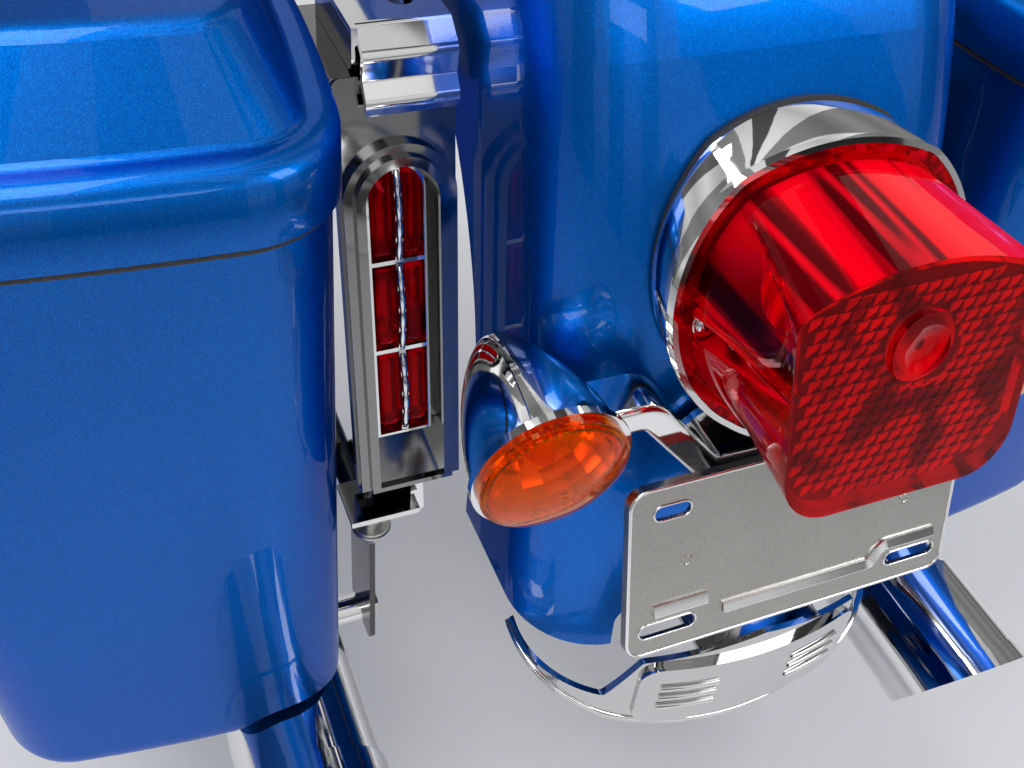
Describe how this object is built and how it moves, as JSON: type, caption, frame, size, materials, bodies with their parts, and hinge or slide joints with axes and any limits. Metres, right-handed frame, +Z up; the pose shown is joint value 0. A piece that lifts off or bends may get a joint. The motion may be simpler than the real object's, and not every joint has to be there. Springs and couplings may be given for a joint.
{
  "type": "touring motorcycle tail section",
  "caption": "Rear end of a touring motorcycle: fender with tail lamp, signals, plate bracket and bumper, two hinged saddlebags and mufflers on a bolt-on subframe.",
  "frame": {"origin": "centre of the four frame bolts, on the front face of the subframe's cross member", "axes": "+X to the rider's right, +Y forward along the bolts, +Z up"},
  "size_m": [0.885, 0.8136, 0.6431],
  "materials": {
    "body_paint": "metallic candy blue under clear coat",
    "frame_paint": "satin black powder coat",
    "chrome": "mirror chrome plate",
    "dark_chrome": "smoked chrome plate",
    "stainless": "dull brushed stainless steel",
    "reflector": "bright reflector coating",
    "red_lens": "clear red moulded plastic",
    "amber_lens": "clear amber moulded plastic",
    "bulb_glass": "clear bulb glass",
    "rubber": "matte black rubber"
  },
  "bodies": {
    "tail": {"fender": "body_paint", "fender_bumper": "chrome", "left_bag_body": "body_paint", "left_bag_bracket": "chrome", "left_bag_hinge": "stainless", "left_bag_latch": "chrome", "left_bag_rail": "frame_paint", "left_docking_bracket": "chrome", "left_filler_grille": "chrome", "left_filler_lens": "red_lens", "left_filler_panel": "dark_chrome", "left_muffler": "chrome", "left_muffler_hanger": "frame_paint", "left_muffler_tip": "chrome", "left_signal_housing": "chrome", "left_signal_lens": "amber_lens", "plate_bracket": "stainless", "right_bag_body": "body_paint", "right_bag_bracket": "chrome", "right_bag_hinge": "stainless", "right_bag_latch": "chrome", "right_bag_rail": "frame_paint", "right_docking_bracket": "chrome", "right_filler_grille": "chrome", "right_filler_lens": "red_lens", "right_filler_panel": "dark_chrome", "right_muffler": "chrome", "right_muffler_hanger": "frame_paint", "right_muffler_tip": "chrome", "right_signal_housing": "chrome", "right_signal_lens": "amber_lens", "signal_bar": "chrome", "subframe": "frame_paint", "tail_lamp_bezel": "chrome", "tail_lamp_bulb": "bulb_glass", "tail_lamp_gasket": "rubber", "tail_lamp_lens": "red_lens", "tail_lamp_reflector": "reflector"},
    "left_lid": {"left_bag_lid": "body_paint", "left_lid_hinge": "stainless"},
    "right_lid": {"right_bag_lid": "body_paint", "right_lid_hinge": "stainless"}
  },
  "joints": [
    {"name": "left_lid_hinge", "type": "hinge", "parent": "tail", "child": "left_lid", "pos_m": [-0.437, -0.28, -0.025], "axis": [0, -1, 0], "range_deg": [0, 80]},
    {"name": "right_lid_hinge", "type": "hinge", "parent": "tail", "child": "right_lid", "pos_m": [0.437, -0.28, -0.025], "axis": [0, 1, 0], "range_deg": [0, 80]}
  ]
}
